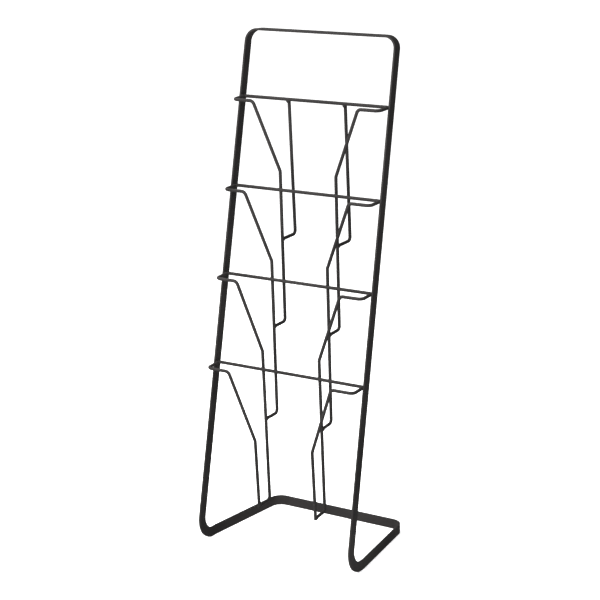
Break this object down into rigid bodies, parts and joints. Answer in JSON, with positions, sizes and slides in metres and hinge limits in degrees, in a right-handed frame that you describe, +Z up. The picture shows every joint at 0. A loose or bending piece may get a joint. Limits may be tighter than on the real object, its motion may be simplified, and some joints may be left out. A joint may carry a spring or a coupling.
{
  "type": "magazine holder",
  "caption": "Floor-standing magazine holder: a leaning black flat bar frame with bent wire pockets stacked one above the other, on a low open floor base.",
  "frame": {"origin": "on the floor, below the middle of the rack's width and depth", "axes": "+X to the rack's right as seen from the front, +Y to the rear, +Z up"},
  "size_m": [0.2722, 0.2119, 0.7982],
  "materials": {
    "flat_bar": "matte",
    "wire": "matte",
    "weld": "matte"
  },
  "bodies": {
    "root": {"bottom_tier_wire": "wire", "cross_weld_beads": "weld", "hook_weld_beads": "weld", "left_back_wire": "wire", "left_floor_rail": "flat_bar", "left_leg": "flat_bar", "leg_weld_beads": "weld", "rear_floor_bar": "flat_bar", "right_back_wire": "wire", "right_floor_rail": "flat_bar", "right_leg": "flat_bar", "second_tier_wire": "wire", "third_tier_wire": "wire", "top_bar": "flat_bar", "top_tier_wire": "wire"}
  },
  "joints": []
}
